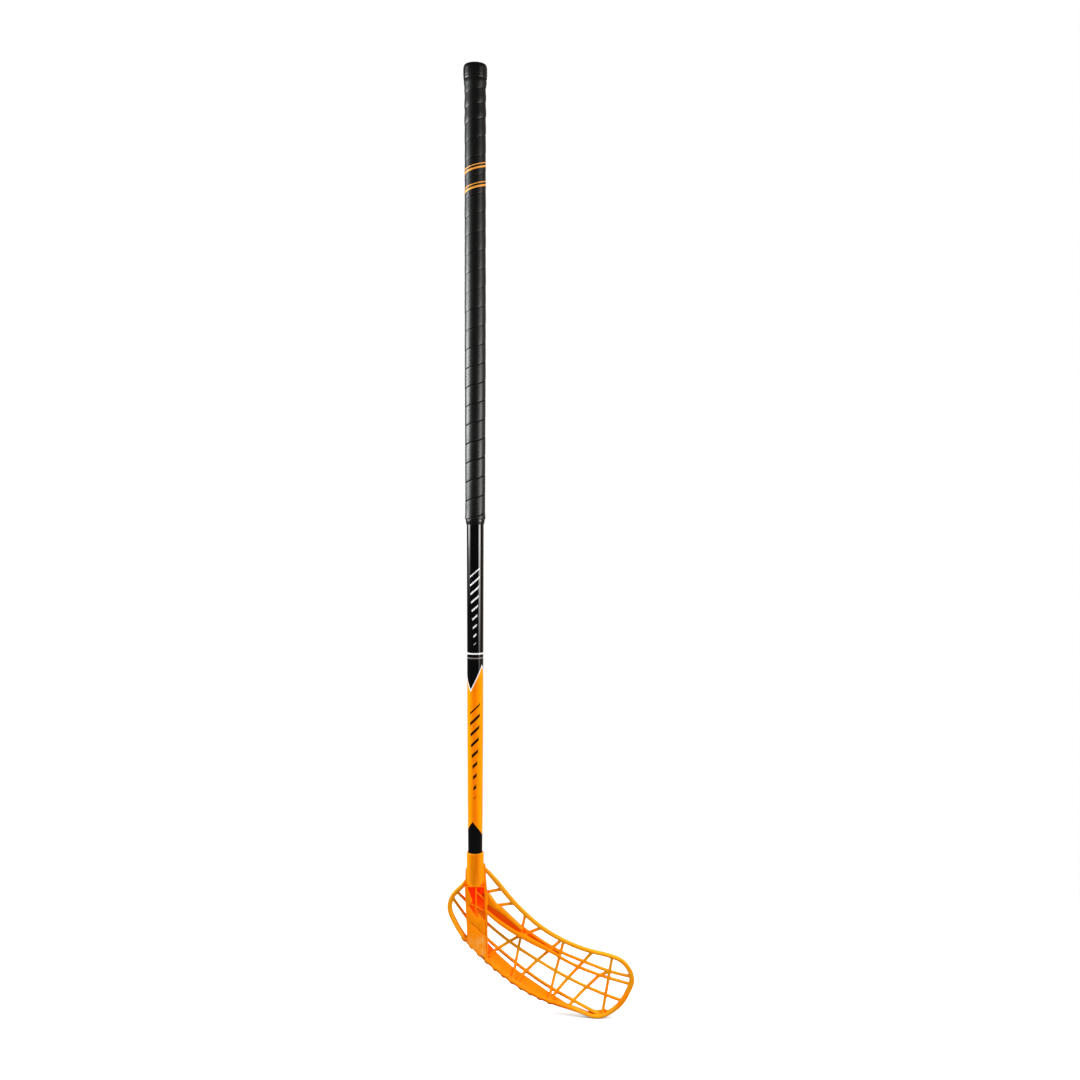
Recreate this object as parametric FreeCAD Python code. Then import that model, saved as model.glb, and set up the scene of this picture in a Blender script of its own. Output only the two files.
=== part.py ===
import FreeCAD, Part
import math
import os
from FreeCAD import Vector

# Floorball stick, standing upright with the blade down. Sizes are in millimetres.
# X runs along the blade to its toe, Y away from the playing side and Z up the shaft.
# The origin is on the shaft's axis, in the middle of the upper hand's hold.
# The blade's outlines are written from the lower edge of its neck, as (x, z).

# Shaft
shaft_length = 1000.0
shaft_top_diameter = 20.8
shaft_mid_diameter = 19.4
shaft_end_diameter = 17.5
shaft_mid_height = 200.0
shaft_wall = 1.4
hand_below_top = 130.0

# Grip tape, its finishing band and the end cap
grip_length = 555.0
tape_pitch = 23.1
tape_seam = 0.6
tape_thickness = 1.75
tape_crown = 0.4
tape_lead = 26.0
glue_line = 0.3
band_length = 6.2
band_upper_thickness = 1.0
band_lower_thickness = 0.3
cap_wall = 1.15
cap_swell = 0.8
cap_height = 18.5
cap_straight = 6.0
cap_top_thickness = 2.5
cap_corner = 1.4
cap_stem_length = 30.0
cap_stem_wall = 2.2
cap_stem_clearance = 0.05
cap_skirt_clearance = 0.3

# Joint between the shaft and the blade
socket_depth = 37.0
socket_clearance = 0.05
neck_wall = 1.6
neck_flare = 0.4
neck_lip = 0.8
neck_floor = 1.5
insert_length = 34.0
insert_clearance = 0.03
screw_diameter = 3.0
screw_length = 10.0
screw_head_diameter = 5.6
screw_head_height = 1.8
screw_clearance = 0.06
screw_slot_width = 1.0
screw_slot_depth = 0.8
upper_screw_height = 27.0
lower_screw_height = 13.0
boss_diameter = 9.0
boss_height = 2.2

# Blade: middle surface, rim, ribs and webs
hook_radius = 760.0
hook_start = 12.0
scoop_radius = 98.0
scoop_height = 42.0
scoop_line_height = -83.0
scoop_line_slope = -0.62
rim_width = 3.6
rim_end_extra = 1.9
rim_depth = 6.0
rib_width = 3.0
rib_depth = 3.6
beam_depth = 9.0
beam_end_depth = 4.2
beam_taper_start = 54.5
beam_taper_end = 104.5
beam_taper_lead = 1.8
web_thickness = 1.4
web_setback = 0.3
low_web_setback = 0.4
tread_pitch = 12.9
tread_radius = 5.5
tread_height = 2.3
tread_setback = 1.2
tread_count = 11
spine_top_slope = 7.0
spine_waist_height = -50.0
spine_foot_height = -100.0
spine_front_waist = 9.6
spine_front_foot = 13.6
spine_back_top = 4.4
spine_back_waist = 3.2
spine_back_foot = 9.5
tail_offset = 1.0
tail_length = 78.0
tail_end_diameter = 7.0
tail_lean = 5.0
pocket_depth = 12.0
pocket_end_depth = 3.0
pocket_rib_width = 1.5
pocket_rib_setback = 1.2
groove_width = 1.0
groove_depth = 1.0
slab_low_reach = 20.0
slab_high_reach = 150.0
tool_reach = 60.0

# How finely the tape's gap to itself is measured
points_per_turn = 12

# Levels up the shaft's axis, and radii that several pieces share
top_z = hand_below_top
bottom_z = top_z - shaft_length
neck_z = bottom_z - neck_floor
grip_end_z = top_z - grip_length
top_radius = shaft_top_diameter / 2
end_radius = shaft_end_diameter / 2
tape_inner = top_radius + glue_line
tape_outer = tape_inner + tape_thickness
neck_radius = end_radius + socket_clearance + neck_wall
head_seat = neck_radius + boss_height - screw_head_height
screw_heights = {"upper": upper_screw_height, "lower": lower_screw_height}

x_axis = Vector(1, 0, 0)
z_axis = Vector(0, 0, 1)
y_axis = Vector(0, 1, 0)


def revolved(profile):
    # solid of revolution about the shaft's axis from (radius, height) points
    points = [Vector(r, 0, z) for r, z in profile]
    face = Part.Face(Part.makePolygon(points + points[:1]))
    return face.revolve(Vector(0, 0, 0), z_axis, 360)


def rod(radius, start, length, axis):
    return Part.makeCylinder(radius, length, start, axis)


def fused(solids):
    return solids[0].multiFuse(solids[1:])


def make_shaft():
    # the lowest stretch is straight, for the blade's neck
    heights = [bottom_z, bottom_z + socket_depth, bottom_z + shaft_mid_height, grip_end_z, top_z]
    radii = [end_radius, end_radius, shaft_mid_diameter / 2, top_radius, top_radius]
    outer = list(zip(radii, heights))
    inner = [(r - shaft_wall, z) for r, z in reversed(outer)]
    tube = revolved(outer + inner)
    for height in screw_heights.values():
        tube = tube.cut(screw_hole(height))
    return tube


def screw_hole(height):
    start = Vector(0, 0, neck_z + height)
    return rod(screw_diameter / 2 + screw_clearance, start, neck_radius + boss_height, y_axis)


def make_insert():
    radius = end_radius - shaft_wall - insert_clearance
    plug = rod(radius, Vector(0, 0, bottom_z), insert_length, z_axis)
    for height in screw_heights.values():
        tip = Vector(0, head_seat - screw_length - screw_clearance, neck_z + height)
        plug = plug.cut(rod(screw_diameter / 2 + screw_clearance, tip, 2 * radius, y_axis))
    return plug


def make_screw(height):
    centre = neck_z + height
    seat = Vector(0, head_seat, centre)
    shank = rod(screw_diameter / 2, seat, screw_length, -y_axis)
    head = rod(screw_head_diameter / 2, seat, screw_head_height, y_axis)
    slot_floor = head_seat + screw_head_height - screw_slot_depth
    corner = Vector(-screw_head_diameter, slot_floor, centre - screw_slot_width / 2)
    slot = Part.makeBox(2 * screw_head_diameter, screw_head_height, screw_slot_width, corner)
    return shank.fuse(head).cut(slot).removeSplitter()


def make_grip_tape():
    # one strip wound up the shaft turn by turn, with a crowned face, cut square at the grip's two ends
    half = (tape_pitch - tape_seam) / 2
    start_z = grip_end_z - tape_lead
    edge_radius = tape_outer - tape_crown
    inner_low = Vector(tape_inner, 0, start_z - half)
    inner_high = Vector(tape_inner, 0, start_z + half)
    outer_low = Vector(edge_radius, 0, start_z - half)
    outer_high = Vector(edge_radius, 0, start_z + half)
    crown = Vector(tape_outer, 0, start_z)
    section = Part.Wire([
        Part.makeLine(inner_high, inner_low),
        Part.makeLine(inner_low, outer_low),
        Part.Arc(outer_low, crown, outer_high).toShape(),
        Part.makeLine(outer_high, inner_high),
    ])
    turn = Part.makeHelix(tape_pitch, tape_pitch, tape_inner).Edges[0]
    count = math.ceil((grip_length + 2 * tape_lead) / tape_pitch)
    path = Part.Wire([turn.translated(z_axis * (start_z + i * tape_pitch)) for i in range(count)])
    strip = path.makePipeShell([section], True, True)
    ends = rod(2 * tape_outer, Vector(0, 0, grip_end_z), grip_length, z_axis)
    return strip.common(ends)


def tape_gap(strip):
    # the least distance from turn to turn, at points along the strip's outer edges
    middle = (tape_inner + tape_outer) / 2
    turn_length = 2 * math.pi * tape_inner
    edges = [e for e in strip.Edges
             if e.Length > turn_length and math.hypot(*e.valueAt(e.FirstParameter)[:2]) > middle]
    edges.sort(key=lambda e: e.CenterOfMass.z)
    gaps = []
    for lower, upper in zip(edges, edges[1:]):
        gaps += [Part.Vertex(p).distToShape(upper)[0] for p in lower.discretize(Number=points_per_turn)]
    return min(gaps)


def make_grip_band():
    inner = top_radius + glue_line
    return revolved([
        (inner, grip_end_z),
        (inner + band_upper_thickness, grip_end_z),
        (inner + band_lower_thickness, grip_end_z - band_length),
        (inner, grip_end_z - band_length),
    ])


def make_end_cap():
    # barrel-shaped cap over the tape's first turn, with a hollow stem in the tube
    skirt = tape_outer + cap_skirt_clearance
    rim = skirt + cap_wall
    outer = rim + cap_swell
    cap_top = top_z + cap_top_thickness
    cap_low = cap_top - cap_height
    curved = (cap_height - cap_straight) / 2
    stem = top_radius - shaft_wall - cap_stem_clearance
    stem_low = top_z - cap_stem_length
    bore = stem - cap_stem_wall

    def at(radius, z):
        return Vector(radius, 0, z)

    corner_share = cap_corner * (1 - math.sqrt(0.5))
    # halfway along, an arc that leaves the straight band smoothly has a quarter of its fall
    halfway = outer - cap_swell / 4
    upper_start = at(rim, cap_top - cap_corner)
    upper_end = at(outer, cap_top - curved)
    upper_middle = at(halfway, (upper_start.z + upper_end.z) / 2)
    lower_start = at(outer, cap_low + curved)
    lower_end = at(rim, cap_low)
    lower_middle = at(halfway, (lower_start.z + lower_end.z) / 2)
    corner_middle = at(rim - corner_share, cap_top - corner_share)
    inside = [at(skirt, cap_low), at(skirt, top_z), at(stem, top_z), at(stem, stem_low), at(bore, stem_low),
              at(bore, top_z), at(0, top_z), at(0, cap_top)]
    edges = [
        Part.makeLine(at(0, cap_top), at(rim - cap_corner, cap_top)),
        Part.Arc(at(rim - cap_corner, cap_top), corner_middle, upper_start).toShape(),
        Part.Arc(upper_start, upper_middle, upper_end).toShape(),
        Part.makeLine(upper_end, lower_start),
        Part.Arc(lower_start, lower_middle, lower_end).toShape(),
        Part.makeLine(lower_end, inside[0]),
    ]
    edges += [Part.makeLine(p, q) for p, q in zip(inside, inside[1:])]
    return Part.Face(Part.Wire(edges)).revolve(Vector(0, 0, 0), z_axis, 360)


# Outlines of the blade, as (x, z) from the neck's lower edge
rim_line = [
    (9, 20), (24.5, 4), (45, -20.5), (61, -36.5), (80.5, -52.5), (105, -66.5), (142, -79), (167, -83.5),
    (180, -89), (188, -99), (190.5, -110), (187.5, -120), (180, -135), (167.5, -148.5), (151, -156),
    (127, -150), (103, -142.5), (80, -133.5), (58, -122), (36, -107), (17, -92), (-2.5, -74), (-14, -62.5),
    (-26, -44), (-31, -31), (-30.5, -23), (-26, -13.5), (-12, 1),
]
long_ribs = [
    [(100, -86.4), (125, -98.5), (151.5, -107), (189, -115)],
    [(57.6, -53.6), (80, -68.5), (105, -82), (132.5, -92), (161.5, -101), (189, -105.5)],
    [(13, -47.5), (42.5, -71.5), (77, -93.5), (137, -123), (159, -130.5), (181, -136.5)],
    [(13, -66), (49, -95.5), (93, -125), (121, -139.5), (153, -155.5)],
]
lip_top = [(14.2, -29.8), (54.5, -58.2), (90.5, -77.2), (104.3, -86)]
lip_bottom = [(14.2, -35), (54.5, -63.9), (90.5, -82), (103.7, -89)]
cross_ribs = [
    [(61.5, -36.5), (45.5, -117)],
    [(81, -53.5), (52, -65.5), (16, -86)],
    [(105, -68), (49.5, -117)],
    [(108.5, -68), (90, -138.5)],
    [(143.5, -79.5), (91, -139)],
    [(166, -100), (150, -109), (114, -145.5)],
    [(167, -84), (155, -155)],
    [(33.5, -7), (13, -11)],
    [(49, -24), (28, -27)],
    [(-23.5, -9), (-10, -22.5)],
    [(-29, -16), (-10, -42.5)],
]
gusset_outline = [(13.2, -8), (19, -14), (28, -26.5), (33.5, -29.5), (58.5, -53), (57.5, -56), (36.4, -38),
                  (13.2, -22.2)]
channel_outline = [(13.2, -19), (56, -52.5), (80, -68), (104.2, -81.7), (103.5, -87), (90, -79.7), (54.5, -61),
                   (13.2, -32.5)]
low_web_outline = [(14, -71), (25.5, -83.5), (46.5, -101.5), (91, -130.5), (113.5, -143.5), (103, -142.5),
                   (80, -133.5), (58, -122), (36, -107), (14, -89.5)]
toe_web_outline = [(140, -148.5), (148.5, -150.5), (158.5, -148.5), (164, -150.5), (151, -156), (138, -153)]
right_fin_outline = [(6, 24), (12.3, 23.5), (12.9, 14), (14.4, -12), (6, -12)]
left_fin_outline = [(-6, 18.5), (-11.8, 18), (-12.1, 6), (-12.4, -12), (-6, -12)]
spine_outline = [(-12.4, 0), (-12.4, -2), (-9.5, -62), (-6, -100), (15.5, -100), (15, -24), (14.4, 0)]
pocket_outline = [(-9.5, -1.5), (11.5, -1.5), (12.3, -42.5), (5, -36.5), (1.8, -39), (-7.2, -25.5), (-3, -19)]
pocket_ribs = [
    [(1.4, 0), (1.4, -33)],
    [(1.4, -8), (14, -19)],
    [(-8, -21.5), (14, -32.5)],
]
panel_grooves = [
    [(-7, -44), (13.5, -61.5)],
    [(13, -33), (14, -84)],
]
first_tread = (91, -140)
slab_stations = [-45, -15, 12, 60, 110, 160, 205]


def hook(x):
    # the blade bends towards the playing side, from its spine to the toe
    run = max(0.0, x - hook_start)
    return math.sqrt(hook_radius ** 2 - run ** 2) - hook_radius


def flat(points):
    return [Vector(x, 0, neck_z + z) for x, z in points]


def spline(points, closed=False):
    curve = Part.BSplineCurve()
    curve.interpolate(Points=points, PeriodicFlag=closed)
    return curve.toShape()


def prism(wire):
    # an outline in the XZ plane, carried through the blade's whole depth
    face = Part.Face(wire)
    face.translate(-y_axis * tool_reach)
    return face.extrude(y_axis * (2 * tool_reach))


def polygon_prism(points):
    corners = flat(points)
    return prism(Part.makePolygon(corners + corners[:1]))


def normals(points, closed):
    # unit normals in the XZ plane, to the left of the way along the points
    count = len(points)
    result = []
    for i in range(count):
        before = points[i - 1] if closed or i > 0 else points[i]
        after = points[(i + 1) % count] if closed or i < count - 1 else points[i]
        along = (after - before).normalize()
        result.append(Vector(-along.z, 0, along.x))
    return result


def between(left, right):
    # prism between two smooth lines
    wire = Part.Wire([
        spline(left),
        Part.makeLine(left[-1], right[-1]),
        spline(right[::-1]),
        Part.makeLine(right[0], left[0]),
    ])
    return prism(wire)


def band_prism(top, bottom):
    return between(flat(top), flat(bottom))


def rib_prism(points, width, curved=False):
    centre = flat(points)
    sides = normals(centre, False)
    left = [p + n * (width / 2) for p, n in zip(centre, sides)]
    right = [p - n * (width / 2) for p, n in zip(centre, sides)]
    if curved:
        return between(left, right)
    return prism(Part.makePolygon(left + right[::-1] + left[:1]))


def rim_wire(share):
    # closed outline at a share of the rim's width from its middle, outwards above nought;
    # the rim is wider where it stands upright, at the heel and the toe
    centre = flat(rim_line)
    sides = normals(centre, True)
    moved = [p + n * (share * (rim_width + rim_end_extra * n.x ** 2)) for p, n in zip(centre, sides)]
    return Part.Wire([spline(moved, True)])


def scoop(rise):
    # the lower part of the blade curls forward below the scoop's height
    run = max(0.0, scoop_height - rise)
    return math.sqrt(scoop_radius ** 2 - run ** 2) - scoop_radius


def scoop_line(x):
    return scoop_line_height + scoop_line_slope * x


def middle_depth(x, z):
    return hook(x) + scoop(z - scoop_line(x))


def blade_slab(front, back):
    # the blade's middle surface, thickened by front and back along Y
    rises = [-slab_low_reach, (scoop_height - slab_low_reach) / 2, scoop_height, slab_high_reach]
    sections = []
    for x in slab_stations:
        base = Vector(x, hook(x), neck_z + scoop_line(x))
        near = [base + Vector(0, scoop(rise) - front, rise) for rise in rises]
        far = [base + Vector(0, scoop(rise) + back, rise) for rise in rises]
        sections.append(Part.Wire([
            Part.Arc(*near[:3]).toShape(),
            Part.makeLine(near[2], near[3]),
            Part.makeLine(near[3], far[3]),
            Part.makeLine(far[3], far[2]),
            Part.Arc(*far[2::-1]).toShape(),
            Part.makeLine(far[0], near[0]),
        ]))
    return Part.makeLoft(sections, True, False)


def beam_taper():
    # the beam's room in plan: it gets shallower from the middle of the blade to the beam's end
    start = Vector(beam_taper_start, 0, 0)
    start.y = hook(start.x) - beam_depth + rib_depth / 2 - beam_taper_lead
    end = Vector(beam_taper_end, 0, 0)
    end.y = hook(end.x) - beam_end_depth + rib_depth / 2
    far = end + x_axis * tool_reach
    corners = [Vector(0, tool_reach, 0), Vector(0, -tool_reach, 0), Vector(start.x, -tool_reach, 0), start, end, far,
               Vector(far.x, tool_reach, 0)]
    face = Part.Face(Part.makePolygon(corners + corners[:1]))
    face.translate(z_axis * (neck_z - slab_high_reach))
    return face.extrude(z_axis * slab_high_reach)


def side_prism(edges):
    # an outline in a YZ plane, carried across the heel along X
    face = Part.Face(Part.Wire(edges))
    face.translate(-x_axis * tool_reach)
    return face.extrude(x_axis * (2 * tool_reach))


def make_spine():
    # the heel panel below the neck, with its open pocket and stiffening ribs
    def at(y, height):
        return Vector(0, y, neck_z + height)

    waist = spine_waist_height
    foot = spine_foot_height
    front = [at(-neck_radius, 0), at(-spine_front_waist, waist), at(-spine_front_foot, foot)]
    back = [at(spine_back_top, -spine_top_slope), at(spine_back_waist, waist), at(-spine_back_foot, foot)]
    pocket_low = min(z for x, z in pocket_outline)
    floor = [at(-neck_radius + pocket_depth, 0), at(-neck_radius + pocket_end_depth, pocket_low)]
    outside = [at(-tool_reach, 0), at(-tool_reach, foot)]

    body = side_prism([
        Part.Arc(*front).toShape(),
        Part.makeLine(front[2], back[2]),
        Part.Arc(*back[::-1]).toShape(),
        Part.makeLine(back[0], front[0]),
    ]).common(polygon_prism(spine_outline)).fuse(make_tail())

    def skin(depth):
        # everything in front of a surface that lies this deep below the panel's face
        sunk = [p + Vector(0, depth, 0) for p in front]
        return side_prism([
            Part.Arc(*sunk).toShape(),
            Part.makeLine(sunk[2], outside[1]),
            Part.makeLine(outside[1], outside[0]),
            Part.makeLine(outside[0], sunk[0]),
        ])

    hollow = Part.makePolygon([outside[0], floor[0], floor[1], outside[1], outside[0]])
    pocket = polygon_prism(pocket_outline).common(side_prism(hollow.Edges))
    ribs = fused([rib_prism(line, pocket_rib_width) for line in pocket_ribs]).cut(skin(pocket_rib_setback))
    grooves = fused([rib_prism(line, groove_width) for line in panel_grooves]).common(skin(groove_depth))
    return body.cut(pocket.cut(ribs)).cut(grooves)


def make_tail():
    # the neck's round tail, which runs down the back of the panel and thins out
    start = Vector(0, tail_offset, neck_z)
    way = Vector(0, -tail_lean, -tail_length)
    return Part.makeCone(neck_radius - tail_offset, tail_end_diameter / 2, way.Length, start, way)


def make_neck():
    neck_top = bottom_z + socket_depth
    foot_radius = neck_radius + neck_flare
    neck = revolved([
        (0, neck_z - neck_floor),
        (foot_radius, neck_z - neck_floor),
        (foot_radius, neck_z),
        (neck_radius, neck_top - neck_lip),
        (neck_radius - neck_lip / 2, neck_top),
        (0, neck_top),
    ])
    for height in screw_heights.values():
        start = Vector(0, 0, neck_z + height)
        neck = neck.fuse(rod(boss_diameter / 2, start, neck_radius + boss_height, y_axis))
    return neck


def make_treads():
    # low bumps along the bottom edge, set back from the rim's two faces
    outline = rim_wire(0.5).Edges[0]
    start = outline.Curve.parameter(flat([first_tread])[0])
    travelled = outline.Curve.length(outline.FirstParameter, start)
    half = rim_depth / 2 - tread_setback
    bumps = []
    for i in range(tread_count):
        t = outline.getParameterByLength(travelled + i * tread_pitch)
        along = outline.tangentAt(t)
        outward = Vector(-along.z, 0, along.x)
        centre = outline.valueAt(t) + outward * (tread_height - tread_radius)
        centre.y = middle_depth(centre.x, centre.z - neck_z)
        bumps.append(rod(tread_radius, centre - y_axis * half, 2 * half, y_axis))
    return fused(bumps).cut(prism(rim_wire(0)))


def make_blade():
    outer = prism(rim_wire(0.5))
    fins = [polygon_prism(outline) for outline in (left_fin_outline, right_fin_outline)]
    rim_prisms = fused([outer.cut(prism(rim_wire(-0.5)))] + fins)
    rim = rim_prisms.common(blade_slab(rim_depth / 2, rim_depth / 2))
    rib_prisms = [rib_prism(line, rib_width, True) for line in long_ribs]
    rib_prisms += [rib_prism(line, rib_width) for line in cross_ribs]
    ribs = fused(rib_prisms).common(blade_slab(rib_depth / 2, rib_depth / 2))
    beam_prisms = fused([band_prism(lip_top, lip_bottom), polygon_prism(gusset_outline)])
    beam = beam_prisms.common(blade_slab(beam_depth - rib_depth / 2, rib_depth / 2 - 2 * web_setback))
    beam = beam.common(beam_taper())
    web_back = rib_depth / 2 - web_setback
    low_back = rim_depth / 2 - low_web_setback
    webs = polygon_prism(channel_outline).common(blade_slab(web_thickness - web_back, web_back))
    low_webs = fused([polygon_prism(outline) for outline in (low_web_outline, toe_web_outline)])
    low_webs = low_webs.common(blade_slab(web_thickness - low_back, low_back))
    spine = make_spine().common(outer)
    blade = rim
    for piece in (make_treads(), make_neck(), spine, webs, low_webs, beam, ribs):
        blade = blade.fuse(piece)
    blade = blade.cut(rod(end_radius + socket_clearance, Vector(0, 0, bottom_z), socket_depth, z_axis))
    for height in screw_heights.values():
        seat = Vector(0, head_seat, neck_z + height)
        recess = rod(screw_head_diameter / 2 + screw_clearance, seat, 2 * boss_height, y_axis)
        blade = blade.cut(screw_hole(height)).cut(recess)
    return blade.removeSplitter()


nodes = {
    "shaft_tube": make_shaft(),
    "shaft_insert": make_insert(),
    "blade": make_blade(),
    "grip_tape": make_grip_tape(),
    "grip_end_tape": make_grip_band(),
    "end_cap": make_end_cap(),
}
for place, height in screw_heights.items():
    nodes["blade_screw_" + place] = make_screw(height)

print("tape's least gap to itself %.2f mm" % tape_gap(nodes["grip_tape"]))
os.makedirs("parts", exist_ok=True)
for name, shape in nodes.items():
    print(name, len(shape.Solids), "solid", shape.isValid(), "%.2f cm3" % (shape.Volume / 1000))
    shape.exportStep("parts/" + name + ".step")
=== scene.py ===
import bmesh
import bpy
import math
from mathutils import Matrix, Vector
from mathutils.bvhtree import BVHTree


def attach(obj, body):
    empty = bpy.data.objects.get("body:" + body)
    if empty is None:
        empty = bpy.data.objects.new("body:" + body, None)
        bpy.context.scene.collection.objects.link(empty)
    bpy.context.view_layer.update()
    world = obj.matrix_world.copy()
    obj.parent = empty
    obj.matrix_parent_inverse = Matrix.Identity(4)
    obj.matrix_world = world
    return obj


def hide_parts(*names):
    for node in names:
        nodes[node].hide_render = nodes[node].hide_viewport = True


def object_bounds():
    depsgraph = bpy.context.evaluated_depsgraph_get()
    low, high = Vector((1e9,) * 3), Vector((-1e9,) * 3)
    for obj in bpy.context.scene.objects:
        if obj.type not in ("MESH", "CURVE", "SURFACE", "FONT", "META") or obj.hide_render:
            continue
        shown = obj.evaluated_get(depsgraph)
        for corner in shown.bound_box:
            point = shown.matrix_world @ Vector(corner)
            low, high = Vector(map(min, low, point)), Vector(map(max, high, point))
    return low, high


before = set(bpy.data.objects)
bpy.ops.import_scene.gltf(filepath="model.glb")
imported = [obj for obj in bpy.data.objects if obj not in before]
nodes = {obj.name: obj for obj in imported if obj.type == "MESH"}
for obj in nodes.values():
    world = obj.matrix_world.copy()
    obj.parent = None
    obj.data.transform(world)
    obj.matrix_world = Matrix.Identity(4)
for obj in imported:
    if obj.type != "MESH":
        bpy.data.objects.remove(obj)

cadLow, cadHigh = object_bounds()
scene = bpy.context.scene
print("frame loaded, nodes:", ", ".join(sorted(nodes)))


# helpers for node trees

def feed(tree, socket, value):
    # a socket takes a link or a plain value
    if isinstance(value, bpy.types.NodeSocket):
        tree.links.new(value, socket)
    elif value is not None:
        socket.default_value = value


def calc(tree, operation, first, second=None, third=None):
    node = tree.nodes.new("ShaderNodeMath")
    node.operation = operation
    for socket, value in zip(node.inputs, (first, second, third)):
        feed(tree, socket, value)
    return node.outputs[0]


def ramp(tree, value, low, high, toLow=0.0, toHigh=1.0):
    # smooth step from low to high
    node = tree.nodes.new("ShaderNodeMapRange")
    node.interpolation_type = "SMOOTHSTEP"
    for socket, number in zip(node.inputs, (value, low, high, toLow, toHigh)):
        feed(tree, socket, number)
    return node.outputs[0]


def times(tree, first, *others):
    for other in others:
        first = calc(tree, "MULTIPLY", first, other)
    return first


def inverse(tree, mask):
    return calc(tree, "SUBTRACT", 1.0, mask)


def bandMask(tree, value, low, high, soft):
    # one between low and high, with a soft edge
    rise = ramp(tree, value, low - soft, low + soft)
    fall = ramp(tree, value, high - soft, high + soft, 1.0, 0.0)
    return times(tree, rise, fall)


def mixColour(tree, factor, first, second, blend="MIX"):
    node = tree.nodes.new("ShaderNodeMix")
    node.data_type = "RGBA"
    node.blend_type = blend
    feed(tree, node.inputs["Factor"], factor)
    feed(tree, node.inputs[6], first)
    feed(tree, node.inputs[7], second)
    return node.outputs[2]


def objectPoint(tree):
    # place on the piece in the CAD frame, in metres
    return tree.nodes.new("ShaderNodeTexCoord").outputs["Object"]


def axes(tree, vector):
    node = tree.nodes.new("ShaderNodeSeparateXYZ")
    feed(tree, node.inputs[0], vector)
    return node.outputs


def stretched(tree, vector, scale):
    node = tree.nodes.new("ShaderNodeMapping")
    feed(tree, node.inputs["Vector"], vector)
    node.inputs["Scale"].default_value = scale
    return node.outputs[0]


def noise(tree, vector, scale, detail=3.0, roughness=0.55):
    node = tree.nodes.new("ShaderNodeTexNoise")
    feed(tree, node.inputs["Vector"], vector)
    feed(tree, node.inputs["Scale"], scale)
    node.inputs["Detail"].default_value = detail
    node.inputs["Roughness"].default_value = roughness
    return node.outputs["Fac"]


def cells(tree, vector, scale):
    node = tree.nodes.new("ShaderNodeTexVoronoi")
    feed(tree, node.inputs["Vector"], vector)
    feed(tree, node.inputs["Scale"], scale)
    return node.outputs["Distance"]


def placeGroup(tree, group, **values):
    node = tree.nodes.new("ShaderNodeGroup")
    node.node_tree = group
    for name, value in values.items():
        feed(tree, node.inputs[name], value)
    return node.outputs


def newGroup(name, inputs, outputs):
    group = bpy.data.node_groups.new(name, "ShaderNodeTree")
    for label, default in inputs:
        socket = group.interface.new_socket(label, in_out="INPUT", socket_type="NodeSocketFloat")
        socket.default_value = default
    for label in outputs:
        group.interface.new_socket(label, in_out="OUTPUT", socket_type="NodeSocketFloat")
    entry = group.nodes.new("NodeGroupInput").outputs
    leave = group.nodes.new("NodeGroupOutput").inputs
    return group, entry, leave


def newMaterial(name, **constants):
    material = bpy.data.materials.new(name)
    material.use_nodes = True
    tree = material.node_tree
    shader = tree.nodes["Principled BSDF"]
    for socketName, value in constants.items():
        shader.inputs[socketName.replace("_", " ")].default_value = value
    return material, tree, shader.inputs


def attributeValue(tree, name):
    node = tree.nodes.new("ShaderNodeAttribute")
    node.attribute_name = name
    return node.outputs["Fac"]


def bumpInto(tree, shader, height, strength, distance):
    node = tree.nodes.new("ShaderNodeBump")
    node.inputs["Strength"].default_value = strength
    node.inputs["Distance"].default_value = distance
    feed(tree, node.inputs["Height"], height)
    feed(tree, shader["Normal"], node.outputs[0])


def dress(piece, material):
    piece.data.materials.clear()
    piece.data.materials.append(material)


# effects that several finishes share

def makeMouldGrain():
    # fine skin of a moulded or coated surface: height for bump, and a slow tone drift
    group, entry, leave = newGroup(
        "mouldGrain", [("Grain Scale", 900.0), ("Drift Scale", 30.0)], ["Height", "Drift"])
    point = objectPoint(group)
    fine = noise(group, point, entry["Grain Scale"], 2.0)
    slow = noise(group, point, entry["Drift Scale"], 3.0)
    feed(group, leave["Height"], fine)
    feed(group, leave["Drift"], slow)
    return group


def makeHandlingMarks():
    # roughness that varies with smudges and hairline rubs along the shaft
    group, entry, leave = newGroup(
        "handlingMarks", [("Base Roughness", 0.3), ("Smudge", 0.05), ("Rubs", 0.05)], ["Roughness"])
    point = objectPoint(group)
    smudge = ramp(group, noise(group, point, 22.0, 4.0), 0.4, 0.75)
    hair = noise(group, stretched(group, point, (900.0, 900.0, 40.0)), 1.0, 2.0)
    rub = ramp(group, hair, 0.62, 0.78)
    rough = calc(group, "MULTIPLY_ADD", smudge, entry["Smudge"], entry["Base Roughness"])
    feed(group, leave["Roughness"], calc(group, "MULTIPLY_ADD", rub, entry["Rubs"], rough))
    return group


mouldGrain = makeMouldGrain()
handlingMarks = makeHandlingMarks()
print("shared effects made")


# mesh helpers

def newPiece(name, points, faces, body, replaced):
    mesh = bpy.data.meshes.new(name)
    mesh.from_pydata(points, [], faces)
    mesh.validate()
    mesh.update()
    piece = bpy.data.objects.new(name, mesh)
    scene.collection.objects.link(piece)
    mesh.shade_smooth()
    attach(piece, body)
    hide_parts(replaced)
    return piece


def lathe(profile, segments):
    # closed (radius, height) outline turned about Z; a radius of nought makes one shared point
    points, rings = [], []
    for radius, height in profile:
        if radius < 1e-7:
            rings.append([len(points)] * segments)
            points.append((0.0, 0.0, height))
            continue
        rings.append(list(range(len(points), len(points) + segments)))
        for i in range(segments):
            angle = 2 * math.pi * i / segments
            points.append((radius * math.cos(angle), radius * math.sin(angle), height))
    faces = []
    for j in range(len(profile)):
        low, high = rings[j], rings[(j + 1) % len(profile)]
        for i in range(segments):
            k = (i + 1) % segments
            corners = [low[i], low[k], high[k], high[i]]
            unique = list(dict.fromkeys(corners))
            if len(unique) > 2:
                faces.append(unique)
    return points, faces


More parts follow.
